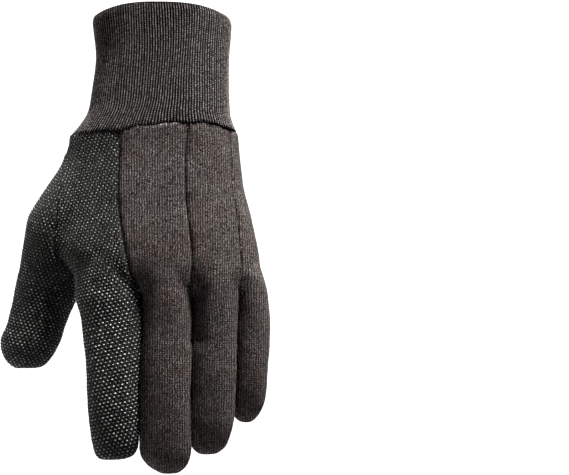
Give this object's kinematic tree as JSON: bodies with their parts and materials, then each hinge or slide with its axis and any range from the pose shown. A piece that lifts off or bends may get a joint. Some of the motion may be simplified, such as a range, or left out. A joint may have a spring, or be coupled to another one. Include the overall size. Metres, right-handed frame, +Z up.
{
  "type": "jersey work glove",
  "caption": "Left-hand jersey work glove as worn, fingers down: dotted palm, thumb and index finger, plain brown back strips and a rib-knit wrist cuff.",
  "frame": {"origin": "middle of the wrist opening, at the height of the rim's two side edges", "axes": "+Z up the forearm with the fingers hanging to -Z, -Y out of the back of the hand, -X towards the thumb"},
  "size_m": [0.1441, 0.0574, 0.2527],
  "materials": {
    "rib_knit": "dark brown rib-knit cotton, matt",
    "dotted_jersey": "near-black jersey with small raised light grey grip dots",
    "plain_jersey": "heathered brown cotton jersey, matt"
  },
  "bodies": {
    "root": {"knit_cuff": "rib_knit", "palm_panel": "dotted_jersey", "thumb_panel": "dotted_jersey", "back_middle": "plain_jersey", "back_ring": "plain_jersey", "back_little": "plain_jersey"}
  },
  "joints": []
}
